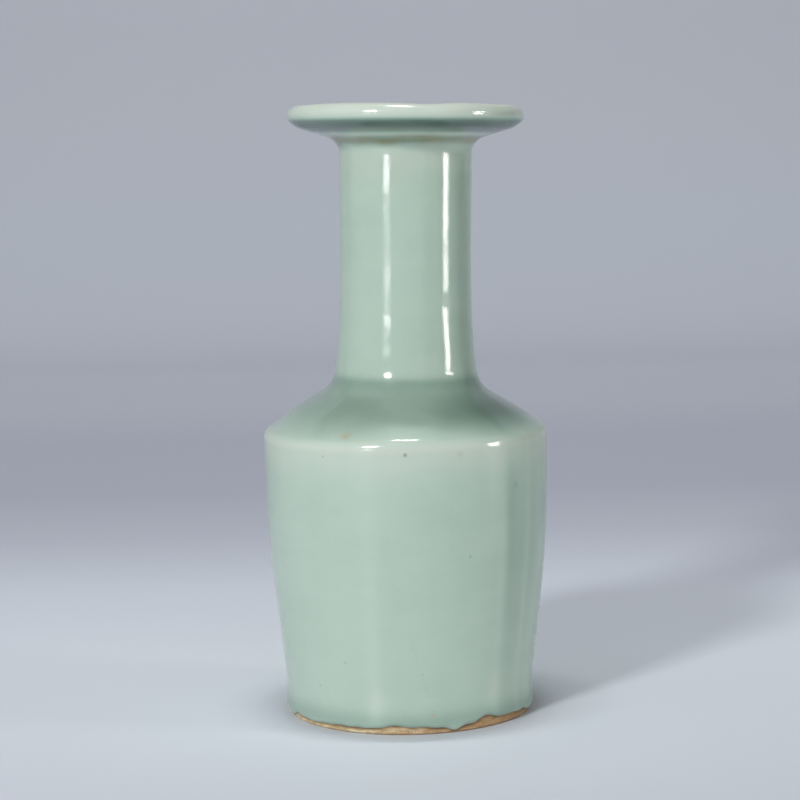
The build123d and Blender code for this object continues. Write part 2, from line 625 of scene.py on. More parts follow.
class Term:
    """Number that varies over a surface. Python's operators on it add Math nodes to its material."""

    def __init__(self, nodes: "Nodes", socket: bpy.types.NodeSocket) -> None:
        """Wrap the output socket of a node."""
        self.nodes = nodes
        self.socket = socket

    def __add__(self, other: "Number") -> "Term":
        """Sum."""
        return self.nodes.math("ADD", self, other)

    def __radd__(self, other: "Number") -> "Term":
        """Sum, with a plain number first."""
        return self.nodes.math("ADD", other, self)

    def __sub__(self, other: "Number") -> "Term":
        """Difference."""
        return self.nodes.math("SUBTRACT", self, other)

    def __rsub__(self, other: "Number") -> "Term":
        """Difference, with a plain number first."""
        return self.nodes.math("SUBTRACT", other, self)

    def __mul__(self, other: "Number") -> "Term":
        """Product."""
        return self.nodes.math("MULTIPLY", self, other)

    def __rmul__(self, other: "Number") -> "Term":
        """Product, with a plain number first."""
        return self.nodes.math("MULTIPLY", other, self)

    def eased(self, low: float, high: float) -> "Term":
        """Ease from 0 where the number is low to 1 where it is high."""
        values = {"Value": self, "From Min": low, "From Max": high}
        return self.nodes.term("ShaderNodeMapRange", {"interpolation_type": "SMOOTHSTEP"}, values)


Number = float | Term
Source = float | tuple | Vector | bpy.types.NodeSocket | Term


class Nodes:
    """Node tree under construction."""

    def __init__(self, tree: bpy.types.NodeTree) -> None:
        """Start from an emptied tree."""
        self.tree = tree
        self.tree.nodes.clear()

    def add(self, kind: str, settings: dict | None = None, inputs: dict | None = None) -> bpy.types.Node:
        """Node with its settings made first and its sockets filled next.

        Args:
            kind: Type of the node.
            settings: The node's properties. The key stops gives a ramp's places and colours.
            inputs: A value, a socket or a term for each input, by name or by number.

        Returns:
            The node.
        """
        node = self.tree.nodes.new(kind)
        for key, value in (settings or {}).items():
            if key == "stops":
                self._set_stops(node.color_ramp.elements, value)
            else:
                setattr(node, key, value)
        for key, value in (inputs or {}).items():
            self.fill(node.inputs[key], value)
        return node

    def fill(self, target: bpy.types.NodeSocket, source: Source) -> None:
        """Link a socket or a term to an input, or set the input to a plain value."""
        if isinstance(source, Term):
            source = source.socket
        if isinstance(source, bpy.types.NodeSocket):
            self.tree.links.new(source, target)
        else:
            target.default_value = source

    @staticmethod
    def _set_stops(elements: bpy.types.ColorRampElements, stops: list[tuple[float, Colour]]) -> None:
        """Make a ramp hold exactly these stops."""
        while len(elements) < len(stops):
            elements.new(1.0)
        for element, (position, colour) in zip(elements, stops):
            element.position = position
            element.color = colour

    def term(self, kind: str, settings: dict | None = None, inputs: dict | None = None) -> Term:
        """First output of a new node, as a term."""
        return Term(self, self.add(kind, settings, inputs).outputs[0])

    def math(self, operation: str, first: Number, second: Number) -> Term:
        """Math node on two numbers."""
        return self.term("ShaderNodeMath", {"operation": operation}, {0: first, 1: second})

    def vector(self, operation: str, first: Source, second: Source) -> bpy.types.NodeSocket:
        """Vector that a Vector Math node makes of two vectors."""
        settings = {"operation": operation}
        return self.add("ShaderNodeVectorMath", settings, {0: first, 1: second}).outputs[0]

    def measure(self, operation: str, first: Source, second: Source) -> Term:
        """Number that a Vector Math node makes of two vectors."""
        return Term(self, self.vector(operation, first, second).node.outputs["Value"])

    def toward(self, place: bpy.types.NodeSocket, azimuth: float) -> Term:
        """How far a place lies towards an azimuth in degrees."""
        turn = math.radians(azimuth)
        return self.measure("DOT_PRODUCT", place, (math.sin(turn), -math.cos(turn), 0.0))

    def mixed(self, share: Number, first: Source, second: Source) -> bpy.types.NodeSocket:
        """Colour between two colours."""
        inputs = {0: share, 6: first, 7: second}
        return self.add("ShaderNodeMix", {"data_type": "RGBA"}, inputs).outputs[2]


class Paint(Nodes):
    """Material under construction: a Principled shader, and the nodes that feed it."""

    def __init__(self, name: str) -> None:
        """Start a material.

        Args:
            name: Name of the material.
        """
        self.material = bpy.data.materials.new(name)
        self.material.use_nodes = True
        super().__init__(self.material.node_tree)
        self.shader = self.add("ShaderNodeBsdfPrincipled")
        self.add("ShaderNodeOutputMaterial", {}, {"Surface": self.shader.outputs["BSDF"]})
        self.place = self.add("ShaderNodeTexCoord").outputs["Object"]

    def value(self, name: str) -> Term:
        """Named number that the mesh carries."""
        node = self.add("ShaderNodeAttribute", {"attribute_name": name})
        return Term(self, node.outputs["Fac"])

    def noise(self, size: float, detail: float = 2.0, rough: float = 0.5, along: float = 1.0) -> Term:
        """Noise between about 0 and 1.

        Args:
            size: Width of its blotches.
            detail: How many finer layers it has.
            rough: How much the finer layers count.
            along: How many times as tall as wide its blotches are.

        Returns:
            The noise as a term.
        """
        place = self.vector("MULTIPLY", self.place, (1.0, 1.0, 1.0 / along))
        inputs = {"Vector": place, "Scale": 1.0 / size, "Detail": detail, "Roughness": rough}
        return self.term("ShaderNodeTexNoise", {}, inputs)

    def near(self, centre: Vector, reach: float, ragged: Term) -> Term:
        """1 at a point, easing to 0 at a distance from it that a noise round 0 varies."""
        away = self.measure("DISTANCE", self.place, centre)
        return (away + ragged * reach).eased(reach, 0.0)

    def ramp(self, term: Term, stops: tuple[tuple[float, Colour], ...]) -> bpy.types.NodeSocket:
        """Colour by a number, from stops that give the number and the colour in rising order."""
        low, high = stops[0][0], stops[-1][0]
        share = (term - low) * (1.0 / (high - low))
        placed = [((at - low) / (high - low), colour) for at, colour in stops]
        return self.add("ShaderNodeValToRGB", {"stops": placed}, {0: share}).outputs["Color"]

    def bumped(self, height: Term, distance: float) -> None:
        """Raise the surface by a height times a distance."""
        inputs = {"Height": height, "Distance": distance, "Strength": 1.0}
        self.feed("Normal", self.add("ShaderNodeBump", {}, inputs).outputs["Normal"])

    def feed(self, name: str, source: Source) -> None:
        """Fill an input of the shader by its name."""
        self.fill(self.shader.inputs[name], source)

    def dress(self, piece: bpy.types.Object, slot: str | None = None) -> None:
        """Put the material on a piece."""
        piece.data.materials.clear()
        piece.data.materials.append(self.material)


# Finishes


class Fault(Enum):
    """Kinds of small mark in the glaze, each with its colour."""

    IRON_SPECK = srgb(92, 84, 74)
    PINHOLE = srgb(122, 138, 124)
    RUST_STAIN = srgb(186, 152, 108)
    OCHRE_STAIN = srgb(168, 168, 126)


@dataclass(frozen=True)
class Mark:
    """Small mark in the glaze, at an azimuth in degrees and a height."""

    fault: Fault
    azimuth: float
    height: float
    reach: float
    strength: float


@dataclass(frozen=True)
class Crack:
    """Faint line in the glaze, straight but for a little wander between its two ends.

    Each end is an azimuth in degrees and a height.
    """

    start: tuple[float, float]
    end: tuple[float, float]
    width: float = 0.3 * MM
    strength: float = 0.13
    wander: float = 0.7 * MM
    wander_size: float = 2.5 * MM

    def share(self, paint: Paint, start: Vector, end: Vector) -> Term:
        """Share of the crack's colour: high near the line from its start to its end.

        With p a place and s the start, the share of the way t is (p - s) dot d over d dot d, for the
        direction d, held between 0 and 1. The distance is the length of (p - s) - t d. The place is
        moved first by a noise, from 0 to 1 along each axis, less a half, times twice the wander.

        Args:
            paint: Material that the crack is for.
            start: Place of the start.
            end: Place of the end.

        Returns:
            The share as a term.
        """
        along = end - start
        inputs = {"Vector": paint.place, "Scale": 1.0 / self.wander_size}
        noise = paint.add("ShaderNodeTexNoise", {}, inputs).outputs["Color"]
        swing = paint.vector("MULTIPLY", noise, (2 * self.wander,) * 3)
        place = paint.vector("ADD", paint.place, swing)
        away = paint.vector("SUBTRACT", place, start + Vector((self.wander,) * 3))
        dot = paint.measure("DOT_PRODUCT", away, along / along.length_squared)
        scaled = {0: along, "Scale": paint.term("ShaderNodeClamp", {}, {"Value": dot})}
        reached = paint.add("ShaderNodeVectorMath", {"operation": "SCALE"}, scaled).outputs["Vector"]
        return paint.measure("DISTANCE", away, reached).eased(self.width, 0.0) * self.strength


@dataclass(frozen=True)
class GlazeFinish:
    """Thick jade-green celadon with an orange-peel gloss.

    The tones give its colour by the value that the mesh carries, which holds pooling and painted light:
    under 0 it is paler, where the glaze ran thin and where highlights are painted, over 0 it is
    deeper, where it pooled and where shade is painted.
    """

    tones: tuple[tuple[float, Colour], ...] = (
        (-1.6, srgb(211, 214, 201)),
        (-0.9, srgb(200, 210, 197)),
        (0.0, srgb(176, 197, 182)),
        (1.0, srgb(140, 165, 151)),
        (2.0, srgb(106, 129, 117)),
        (3.0, srgb(84, 105, 95)),
    )
    olive: Colour = srgb(148, 150, 117)
    crack_tone: Colour = srgb(128, 146, 128)
    cloud: float = 22 * MM
    cloud_share: float = 0.5
    streak: float = 7 * MM
    streak_share: float = 0.22
    bubble: float = 0.8 * MM
    bubble_share: float = 0.12
    olive_patch: float = 9 * MM
    olive_least: float = 0.6
    ragged_size: float = 0.9 * MM
    raggedness: float = 1.6
    roughness: float = 0.05
    dulled: float = 0.05
    dull_patch: float = 5 * MM
    coat_weight: float = 0.18
    coat_roughness: float = 0.28
    refraction: float = 1.58
    peel: float = 0.42 * MM
    peel_swell: float = 3.5 * MM
    peel_swell_share: float = 1.6
    peel_rise: float = 0.016 * MM
    slot: str = "celadon_glaze"

    def paint(
        self,
        name: str,
        marks: Iterable[tuple[Mark, Vector]] = (),
        cracks: Iterable[tuple[Crack, Vector, Vector]] = (),
    ) -> Paint:
        """Material for one coat.

        The tone is the pooling and the painted highlights, reflections and shade that the mesh carries,
        plus broad cloudy mottling that is wider than tall, plus upright streaks, plus a fine grain of
        bubbles. Over it lie the olive of the warm places, in patches, then the marks, with ragged
        outlines, and then the cracks.

        Args:
            name: Name of the material.
            marks: Small marks, each with its place.
            cracks: Faint lines, each with the places of its two ends.

        Returns:
            The material under construction, ready to put on a piece.
        """
        paint = Paint(name)
        clouds = paint.noise(self.cloud, 3.0, 0.55, along=0.4) - 0.5
        streaks = paint.noise(self.streak, 2.0, 0.5, along=9.0) - 0.5
        bubbles = paint.noise(self.bubble, 1.0) - 0.5
        # Tone from the mesh: pooling, with painted highlights, reflections and shade.
        tone = paint.value("pool") + clouds * self.cloud_share + streaks * self.streak_share
        colour = paint.ramp(tone + bubbles * self.bubble_share, self.tones)
        patches = paint.noise(self.olive_patch, 2.0).eased(0.35, 0.65)
        warm = paint.value("warm") * (patches * (1 - self.olive_least) + self.olive_least)
        colour = paint.mixed(warm, colour, self.olive)
        ragged = (paint.noise(self.ragged_size, 3.0, 0.6) - 0.5) * self.raggedness
        for mark, centre in marks:
            share = paint.near(centre, mark.reach, ragged) * mark.strength
            colour = paint.mixed(share, colour, mark.fault.value)
        for crack, start, end in cracks:
            colour = paint.mixed(crack.share(paint, start, end), colour, self.crack_tone)
        paint.feed("Base Color", colour)
        paint.feed("Roughness", paint.noise(self.dull_patch, 3.0) * self.dulled + self.roughness)
        paint.feed("IOR", self.refraction)
        paint.feed("Coat Weight", self.coat_weight)
        paint.feed("Coat Roughness", self.coat_roughness)
        swell = paint.noise(self.peel_swell, 1.0) * self.peel_swell_share
        paint.bumped(paint.noise(self.peel, 2.0, 0.45) + swell, self.peel_rise)
        return paint


@dataclass(frozen=True)
class ClayFinish:
    """Fired stoneware, bare at the foot: sandy ochre, burnt orange-brown on one side."""

    sand: Colour = srgb(194, 168, 126)
    cream: Colour = srgb(232, 215, 178)
    burnt: Colour = srgb(166, 124, 82)
    # Dark brown of the lines at the glaze's edge and at the standing rim: partly burnt clay, partly
    # painted shade.
    line: Colour = srgb(92, 64, 44)
    soot: Colour = srgb(84, 66, 50)
    cream_share: float = 0.9
    burnt_share: float = 0.75
    soot_share: float = 0.5
    line_and_shade_share: float = 0.9
    roughness: float = 0.62
    roughened: float = 0.2
    rough_patch: float = 2 * MM
    refraction: float = 1.45
    burnt_azimuth: float = 60.0
    burnt_reach: float = 36 * MM
    scorch: float = 6 * MM
    scorch_share: float = 0.8
    streak: float = 3 * MM
    grit: float = 0.7 * MM
    grain: float = 0.5 * MM
    groove: float = 1.2 * MM
    grain_rise: float = 0.08 * MM
    slot: str = "clay"

    def paint(self, name: str) -> Paint:
        """Material for the clay: sand with level cream streaks, burnt on one side, with dark grit.

        It reads how near the glaze's edge and the standing rim are from the value edge, and draws a dark
        line there: partly iron-brown and burnt clay, partly painted shade under the glaze's roll and
        where the rim stands on the floor.
        """
        paint = Paint(name)
        toward = paint.toward(paint.place, self.burnt_azimuth)
        wander = paint.noise(self.scorch, 2.0) - 0.5
        burn = (toward * (1 / self.burnt_reach) + wander * self.scorch_share).eased(0.1, 0.9)
        streaks = paint.noise(self.streak, 3.0, 0.6, along=0.22).eased(0.42, 0.62)
        colour = paint.mixed(streaks * self.cream_share, self.sand, self.cream)
        colour = paint.mixed(burn * self.burnt_share, colour, self.burnt)
        grit = paint.noise(self.grit, 2.0, 0.6).eased(0.6, 0.75)
        colour = paint.mixed(grit * self.soot_share, colour, self.soot)
        # Dark line at the glaze's edge and the rim: partly iron-brown, partly painted shade.
        colour = paint.mixed(paint.value("edge") * self.line_and_shade_share, colour, self.line)
        paint.feed("Base Color", colour)
        paint.feed("Roughness", paint.noise(self.rough_patch) * self.roughened + self.roughness)
        paint.feed("IOR", self.refraction)
        grain = paint.noise(self.grain, 3.0, 0.6) + paint.noise(self.groove, 1.0, 0.5, along=0.2)
        paint.bumped(grain, self.grain_rise)
        return paint


@dataclass(frozen=True)
class SlipFinish:
    """Fired slip in the luted joints: the same clay, finer and paler."""

    pale: Colour = srgb(206, 188, 160)
    dull: Colour = srgb(182, 160, 128)
    mottle: float = 2 * MM
    roughness: float = 0.7
    roughened: float = 0.15
    rough_patch: float = 1 * MM
    grain: float = 0.6 * MM
    grain_rise: float = 0.05 * MM
    slot: str = "slip"

    def paint(self, name: str) -> Paint:
        """Material for the slip."""
        paint = Paint(name)
        mottled = paint.noise(self.mottle, 3.0).eased(0.3, 0.7)
        paint.feed("Base Color", paint.mixed(mottled, self.dull, self.pale))
        paint.feed("Roughness", paint.noise(self.rough_patch) * self.roughened + self.roughness)
        paint.bumped(paint.noise(self.grain, 2.0), self.grain_rise)
        return paint


# Pieces


@dataclass(frozen=True)
class GlazeEdge:
    """Wavy lower edge of the glaze above the bare foot, by azimuth."""

    level: float = 1.75 * MM
    swells: tuple[Swell, ...] = (
        Swell(-78.0, -0.9 * MM, 9.0),
        Swell(-51.0, -0.35 * MM, 8.0),
        Swell(-9.0, 0.95 * MM, 5.5),
        Swell(4.0, 0.35 * MM, 9.0),
        Swell(20.5, -1.0 * MM, 4.0),
        Swell(36.5, 1.35 * MM, 5.5),
        Swell(47.0, 0.5 * MM, 9.0),
        Swell(74.0, -1.1 * MM, 5.0),
        Swell(105.0, 0.9 * MM, 9.0),
        Swell(140.0, -0.5 * MM, 12.0),
        Swell(171.0, 1.1 * MM, 7.0),
        Swell(-150.0, 0.6 * MM, 14.0),
        Swell(-118.0, -0.6 * MM, 8.0),
        Swell(-98.0, 0.8 * MM, 6.0),
    )
    ripple: Ripple = Ripple(seed=5, size=0.13 * MM, around=44)

    def height_at(self, azimuth: Grid) -> Grid:
        """Height of the edge: its level, the swells and the ripple added up."""
        return self.level + summed(self.swells, azimuth) + self.ripple.at(azimuth)


@dataclass(frozen=True)
class ClayPieces:
    """The four thrown pieces and the rings of slip that lute them together."""

    wheel: Wheel
    glaze_edge: GlazeEdge
    clay: ClayFinish = ClayFinish()
    slip: SlipFinish = SlipFinish()
    # Widths and share of the dark lines at the glaze's edge and the standing rim: partly burnt, partly
    # painted shade.
    edge_width: float = 0.42 * MM
    rim_width: float = 0.25 * MM
    rim_burn_and_shade_share: float = 0.7
    face_level: float = 1.0 * MM
    face_margin: float = 2.0 * MM

    def build(self) -> list[bpy.types.Object]:
        """Build and dress the clay pieces and the seams.

        Returns:
            The pieces, from the foot up.
        """
        outer = self.wheel.shape.clay_outside.line()
        inner = self.wheel.shape.clay_inside.line()
        body_top, shoulder_bottom = self._levels("seam_body")
        shoulder_top, neck_bottom = self._levels("seam_neck")
        neck_top, mouth_bottom = self._levels("seam_mouth")
        clay = (self.clay.paint("fired_stoneware"), self.clay.slot)
        slip = (self.slip.paint("fired_slip"), self.slip.slot)
        bands = (
            ("body_luting", "seam_body", slip, body_top, shoulder_bottom),
            ("shoulder_cap", "shoulder", clay, shoulder_bottom, shoulder_top),
            ("neck_luting", "seam_neck", slip, shoulder_top, neck_bottom),
            ("neck_tube", "neck", clay, neck_bottom, neck_top),
            ("mouth_luting", "seam_mouth", slip, neck_top, mouth_bottom),
            ("mouth_flange", "mouth_dish", clay, mouth_bottom, None),
        )
        pieces = [self._stand_in(self._cup(outer, inner, body_top), "body_cup", *clay)]
        for name, node, finish, low, high in bands:
            band = self._band(name, outer, inner, low, high)
            pieces.append(self._stand_in(band, node, *finish))
        return pieces

    @staticmethod
    def _levels(node: str) -> tuple[float, float]:
        """Lowest and highest level of a node of the frame."""
        low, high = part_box(node)
        return low.z, high.z

    @staticmethod
    def _stand_in(piece: bpy.types.Object, node: str, paint: Paint, slot: str) -> bpy.types.Object:
        """Piece, dressed and in the place of its node."""
        paint.dress(piece, slot)
        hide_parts(node)
        log.info("%s stands for %s", piece.name, node)
        return piece

    def _band(
        self, name: str, outer: Line, inner: Line, low: float, high: float | None
    ) -> bpy.types.Object:
        """Ring of the wall between two levels, or from a level up to the crest of the lip.

        The section runs up the outer face from the low level and down the inner face back to it.
        """
        if high is None:
            up = outer.rows(outer.length_at(low), outer.length[-1])
            down = inner.rows(0.0, inner.length_at(low))[1:]
        else:
            up = outer.rows(outer.length_at(low), outer.length_at(high))
            down = inner.rows(inner.length_at(high), inner.length_at(low))
        faces = [outer.at(up[:, None]), inner.at(down[:, None])]
        return self.wheel.piece(name, faces, edge=[NOTHING, NOTHING])

    def _cup(self, outer: Line, inner: Line, high: float) -> bpy.types.Object:
        """Lower wall, floor and foot ring, from the middle of the recess round to that of the floor.

        The value edge is 1 along the lower edge of the glaze and fades below it as a bell curve: a dark
        line that is partly iron-brown and partly painted shade under the glaze's roll. A weaker and
        narrower one lies along the rim that the vase stands on, partly burnt clay and partly a painted
        contact shadow. Neither counts on the inner side of the foot ring, so both start a margin before
        a low level of the outer face.
        """
        up = outer.rows(0.0, outer.length_at(high))[:, None]
        down = inner.rows(inner.length_at(high), inner.length[-1])[:, None]
        radius, height = outer.at(up)
        below = self.glaze_edge.height_at(self.wheel.azimuth) - height
        outer_face = up > outer.length_at(self.face_level) - self.face_margin
        # Real dark lines with painted shade: under the glaze's roll and where the rim meets the floor.
        glaze_line_and_shade = np.exp(-((np.maximum(below, 0.0) / self.edge_width) ** 2))
        rim_burn_and_shade = self.rim_burn_and_shade_share * np.exp(-((height / self.rim_width) ** 2))
        near = np.where(outer_face, np.maximum(glaze_line_and_shade, rim_burn_and_shade), 0.0)
        parts = [(radius, height), inner.at(down)]
        return self.wheel.piece("thrown_body", parts, poles=True, edge=[near, NOTHING])


@dataclass(frozen=True)
class GlazeCoats:
    """The three coats of glaze. Each is a closed shell with a skin, and its back lies on the clay.

    The throwing rings and the presses raise the skin or lower it, and it is calmer on the neck. The
    pools say where the coat is deeper or paler in tone, and the warm places where it turned olive. The
    side patches paint highlights, reflections and shade into that tone, and the pools under the lip are
    partly painted shade. The unevenness fades over a stretch of each end, given as where that starts
    and where it ends.
    """

    wheel: Wheel
    edge: GlazeEdge
    finish: GlazeFinish = GlazeFinish()
    roll: float = 1.1 * MM
    roll_steps: int = 8
    bead: float = 0.12 * MM
    bead_reach: float = 1.6 * MM
    edge_reach: float = 6.0 * MM
    base_level: float = 1.2 * MM
    unevenness: Ripple = Ripple(seed=11, size=0.045 * MM, around=9, along=26 * MM)
    runs: Ripple = Ripple(seed=23, size=0.025 * MM, around=30, along=260 * MM)
    throwing: tuple[Band, ...] = (
        Band(112.0 * MM, 6.5 * MM, 8.0 * MM, -0.25 * MM),
        Band(95.2 * MM, 3.5 * MM, 5.5 * MM, 0.25 * MM),
        Band(87.0 * MM, 4.5 * MM, 3.2 * MM, 0.3 * MM),
    )
    presses: tuple[Patch, ...] = (
        Patch(Swell(-3.0, 0.6 * MM, 17.0), Band(82.2 * MM, 3.0 * MM, 2.8 * MM)),
        Patch(Swell(-88.0, 0.5 * MM, 42.0), Band(87.5 * MM, 3.5 * MM, 3.0 * MM)),
        Patch(Swell(11.0, 0.65 * MM, 50.0), Band(95.2 * MM, 3.5 * MM, 5.5 * MM)),
        Patch(Swell(39.0, -0.16 * MM, 18.0), Band(116.2 * MM, 2.5 * MM, 4.0 * MM)),
        Patch(Swell(-16.0, 0.08 * MM, 14.0), Band(149.0 * MM, 5.0 * MM, 5.0 * MM)),
        Patch(Swell(-16.0, 0.15 * MM, 14.0), Band(160.0 * MM, 1.0 * MM, 6.5 * MM)),
    )
    neck_calm: float = 0.8
    neck_calm_start: float = 92.0 * MM
    neck_calm_end: float = 104.0 * MM
    foot_fade: tuple[float, float] = (2 * MM, 12 * MM)
    crest_fade: tuple[float, float] = (0.5 * MM, 6 * MM)
    floor_fade: tuple[float, float] = (1 * MM, 12 * MM)
    recess_fade: tuple[float, float] = (1 * MM, 8 * MM)
    recess_edge_fade: tuple[float, float] = (2 * MM, 8 * MM)
    # Painted light in the tone: the narrow pale bands at -15.4, 41 and 56.5 degrees are painted
    # reflections, the two pale spots near the foot are painted highlights, and the dark band at 45.5
    # degrees and the broad dark patches on the right of the body, the neck and the shoulder are painted
    # shade.
    side_pools: tuple[Patch, ...] = (
        Patch(Swell(-15.4, -0.2, 3.2), Band(36.0 * MM, 22.0 * MM, 60.0 * MM)),
        Patch(Swell(41.0, -0.25, 2.8), Band(46.0 * MM, 32.0 * MM, 60.0 * MM)),
        Patch(Swell(56.5, -0.3, 2.4), Band(48.0 * MM, 31.0 * MM, 60.0 * MM)),
        Patch(Swell(45.5, 0.45, 3.4), Band(62.0 * MM, 17.0 * MM, 30.0 * MM)),
        Patch(Swell(-15.4, -0.35, 4.0), Band(9.0 * MM, 5.0 * MM, 4.5 * MM)),
        Patch(Swell(41.0, -0.35, 4.0), Band(10.5 * MM, 5.0 * MM, 4.5 * MM)),
        Patch(Swell(58.0, 0.45, 18.0), Band(48.0 * MM, 26.0 * MM, 34.0 * MM)),
        Patch(Swell(62.0, 0.4, 16.0), Band(125.0 * MM, 45.0 * MM, 35.0 * MM)),
        Patch(Swell(54.0, 1.2, 26.0), Band(87.0 * MM, 5.0 * MM, 4.4 * MM)),
    )
    waver: Ripple = Ripple(seed=31, size=0.3 * MM, around=14)
    outside_pools: tuple[Band, ...] = (
        Band(172.0 * MM, 1.0 * MM, 0.9 * MM, -1.1),
        Band(169.6 * MM, 1.8 * MM, 1.9 * MM, -0.8),
        # Underside of the mouth: glaze pooled under the flange, darkened further as painted shade.
        Band(167.1 * MM, 1.0 * MM, 1.4 * MM, 2.1),
        Band(165.3 * MM, 1.4 * MM, 1.0 * MM, 2.2),
        Band(163.8 * MM, 0.5 * MM, 0.5 * MM, -1.3),
        Band(162.4 * MM, 0.9 * MM, 0.9 * MM, 1.0),
        Band(158.5 * MM, 1.5 * MM, 6.0 * MM, -0.35),
        Band(95.3 * MM, 1.4 * MM, 3.0 * MM, 0.8),
        Band(88.0 * MM, 6.5 * MM, 4.4 * MM, 0.8),
        Band(79.0 * MM, 3.2 * MM, 6.5 * MM, -0.55),
        Band(79.6 * MM, 0.9 * MM, 0.9 * MM, -0.35),
        Band(3.4 * MM, 3.0 * MM, 2.0 * MM, 0.8),
    )
    inside_pools: tuple[Band, ...] = (
        Band(172.0 * MM, 1.0 * MM, 0.9 * MM, -1.1),
        Band(168.6 * MM, 1.0 * MM, 0.8 * MM, 0.6),
        Band(165.0 * MM, 1.5 * MM, 2.0 * MM, -0.5),
        Band(13.1 * MM, 9.0 * MM, 1.0 * MM, 0.9),
    )
    recess_pool: float = 0.35
    recess_corner_pool: float = 0.5
    recess_corner_height: float = 4.0 * MM
    recess_corner_reach: float = 3.0 * MM
    warm_places: tuple[Band, ...] = (
        Band(162.4 * MM, 1.0 * MM, 1.1 * MM, 0.95),
        Band(157.0 * MM, 3.0 * MM, 8.0 * MM, 0.12),
    )
    marks: tuple[Mark, ...] = (
        Mark(Fault.IRON_SPECK, -0.5, 78.2 * MM, 0.8 * MM, 0.6),
        Mark(Fault.IRON_SPECK, -34.0, 77.5 * MM, 0.5 * MM, 0.45),
        Mark(Fault.IRON_SPECK, -29.0, 20.1 * MM, 0.45 * MM, 0.32),
        Mark(Fault.IRON_SPECK, -44.0, 12.4 * MM, 0.45 * MM, 0.4),
        Mark(Fault.IRON_SPECK, 25.0, 49.5 * MM, 0.45 * MM, 0.45),
        Mark(Fault.IRON_SPECK, 5.5, 17.2 * MM, 0.4 * MM, 0.3),
        Mark(Fault.IRON_SPECK, -79.5, 5.5 * MM, 0.6 * MM, 0.6),
        Mark(Fault.RUST_STAIN, -25.5, 82.7 * MM, 2.5 * MM, 0.42),
        Mark(Fault.OCHRE_STAIN, 21.0, 77.7 * MM, 1.7 * MM, 0.25),
        Mark(Fault.RUST_STAIN, 10.0, 5.4 * MM, 1.3 * MM, 0.4),
        Mark(Fault.PINHOLE, 48.0, 67.7 * MM, 1.5 * MM, 0.3),
        Mark(Fault.IRON_SPECK, 132.0, 61.0 * MM, 0.6 * MM, 0.6),
        Mark(Fault.IRON_SPECK, -141.0, 128.0 * MM, 0.5 * MM, 0.5),
        Mark(Fault.RUST_STAIN, 164.0, 81.6 * MM, 2.0 * MM, 0.4),
    )
    cracks: tuple[Crack, ...] = (
        Crack((1.0, 25.9 * MM), (10.5, 6.7 * MM)),
        Crack((-3.0, 7.0 * MM), (-3.0, 3.2 * MM)),
        Crack((-39.0, 7.5 * MM), (-38.0, 3.4 * MM)),
    )

    def build(self) -> list[bpy.types.Object]:
        """Build and dress the three coats.

        Returns:
            The coats of the outside, the inside and the base.
        """
        coats = [self._outside(), self._inside(), self._base()]
        for coat, node in zip(coats, ("glaze_outside", "glaze_inside", "glaze_base")):
            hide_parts(node)
            log.info("%s stands for %s", coat.name, node)
        return coats

    def _thickness(self, away: Grid) -> Grid:
        """Thickness of the coat by the distance from its edge.

        Within the roll it is a quarter of an ellipse: the coat times the root of 1 less the square of
        the share that is left of the roll. A bead beyond it stands a little proud and fades.
        """
        left = 1.0 - np.clip(away / self.roll, 0.0, 1.0)
        bead = self.bead * np.exp(-(((away - self.roll) / self.bead_reach) ** 2))
        swell = eased(away, 0.0, self.roll)
        return self.wheel.shape.glaze * np.sqrt(1.0 - left**2) + bead * swell

    def _roll_rows(self, start: float) -> Grid:
        """Lengths over the roll, closer together at its edge: 1 less a cosine, times the roll."""
        angle = np.linspace(0.0, math.pi / 2, self.roll_steps + 1)[:-1]
        return start + self.roll * (1.0 - np.cos(angle))

    def _outside(self) -> bpy.types.Object:
        """Coat over the outside, from its wavy edge above the foot to the crest of the lip.

        The section runs up the skin and back down on the clay. Near the edge both follow the edge's
        height: a place moves by the edge's departure from its level, which fades above the edge. The
        unevenness fades towards both ends of the skin, where the coat meets the bare foot and the
        coat of the inside.
        """
        shape = self.wheel.shape
        azimuth = self.wheel.azimuth
        line = shape.outside.line()
        coarse = shape.outside.coarse_line()
        start = line.length_at(self.edge.level)
        skin = np.concatenate([self._roll_rows(start), line.rows(start + self.roll, line.length[-1])])
        back = coarse.rows(start, coarse.length[-1])[:0:-1]
        wave = self.edge.height_at(azimuth) - self.edge.level

        def moved(lengths: Grid) -> Grid:
            """Lengths for every column, with the edge's wave added."""
            away = lengths[:, None] - start
            return lengths[:, None] + wave * np.exp(-((away / self.edge_reach) ** 2))

        away = skin[:, None] - start
        places = moved(skin)
        left = line.length[-1] - skin[:, None]
        free = eased(away, *self.foot_fade) * eased(left, *self.crest_fade)
        height = line.at(places)[1]
        calm = 1.0 - self.neck_calm * eased(height, self.neck_calm_start, self.neck_calm_end)
        uneven = self.unevenness.at(azimuth, places) * calm + self.runs.at(azimuth, places)
        uneven = uneven + summed(self.throwing, height) + summed(self.presses, azimuth, height)
        off = self._thickness(away) - shape.glaze + uneven * free
        # The tone value holds the pooling and the painted highlights, reflections and shade.
        pool = summed(self.outside_pools, height) + summed(self.side_pools, azimuth, height)
        warm = summed(self.warm_places, height + self.waver.at(azimuth))
        parts = [line.at(places, off), coarse.at(moved(back), -shape.glaze)]
        coat = self.wheel.piece("outer_glaze", parts, pool=[pool, NOTHING], warm=[warm, NOTHING])
        point = self.wheel.point
        marks = [(m, point(line, m.azimuth, m.height)) for m in self.marks]
        cracks = [(c, point(line, *c.start), point(line, *c.end)) for c in self.cracks]
        self.finish.paint("celadon_outside", marks, cracks).dress(coat, self.finish.slot)
        return coat

